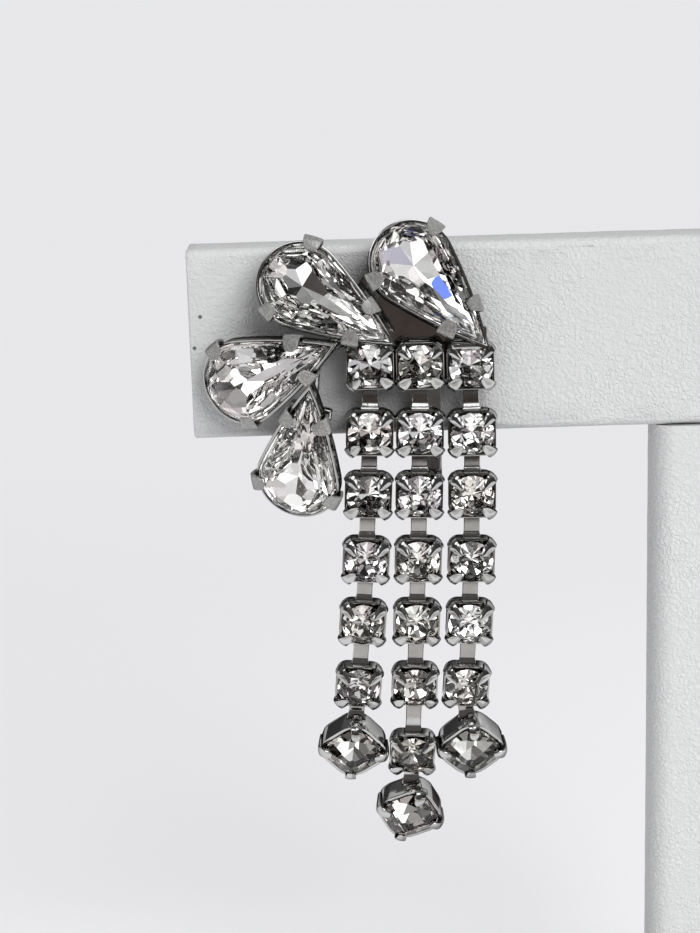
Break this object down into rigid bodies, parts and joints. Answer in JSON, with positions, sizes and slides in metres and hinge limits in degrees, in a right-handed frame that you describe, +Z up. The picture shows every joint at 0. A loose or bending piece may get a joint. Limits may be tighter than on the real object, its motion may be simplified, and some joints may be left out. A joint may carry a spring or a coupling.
{
  "type": "earring on display stand",
  "caption": "Clip-on earring with a fan of pear-shaped crystals, hanging strands of round crystals in square cups and square drops, clamped to a plain T-shaped display stand",
  "frame": {"origin": "centre of the bottom of the stand's base, on the table", "axes": "+Z up, the stones face -Y, the arm runs along X"},
  "size_m": [0.11, 0.046, 0.1018],
  "materials": {
    "stand": "pale leatherette",
    "metal": "rhodium plated, polished",
    "crystal": "foil-backed clear crystal"
  },
  "bodies": {
    "root": {"stand_base": "stand", "stand_post": "stand", "stand_arm": "stand", "clip_lever": "metal", "cluster_frame": "metal", "left_strand": "metal", "middle_strand": "metal", "right_strand": "metal", "left_drop_cup": "metal", "middle_drop_cup": "metal", "right_drop_cup": "metal", "left_drop_stone": "crystal", "middle_drop_stone": "crystal", "right_drop_stone": "crystal", "top_pear_stone": "crystal", "upper_pear_stone": "crystal", "side_pear_stone": "crystal", "lower_pear_stone": "crystal", "left_stone_1": "crystal", "left_stone_2": "crystal", "left_stone_3": "crystal", "left_stone_4": "crystal", "left_stone_5": "crystal", "left_stone_6": "crystal", "middle_stone_1": "crystal", "middle_stone_2": "crystal", "middle_stone_3": "crystal", "middle_stone_4": "crystal", "middle_stone_5": "crystal", "middle_stone_6": "crystal", "middle_stone_7": "crystal", "right_stone_1": "crystal", "right_stone_2": "crystal", "right_stone_3": "crystal", "right_stone_4": "crystal", "right_stone_5": "crystal", "right_stone_6": "crystal"}
  },
  "joints": []
}
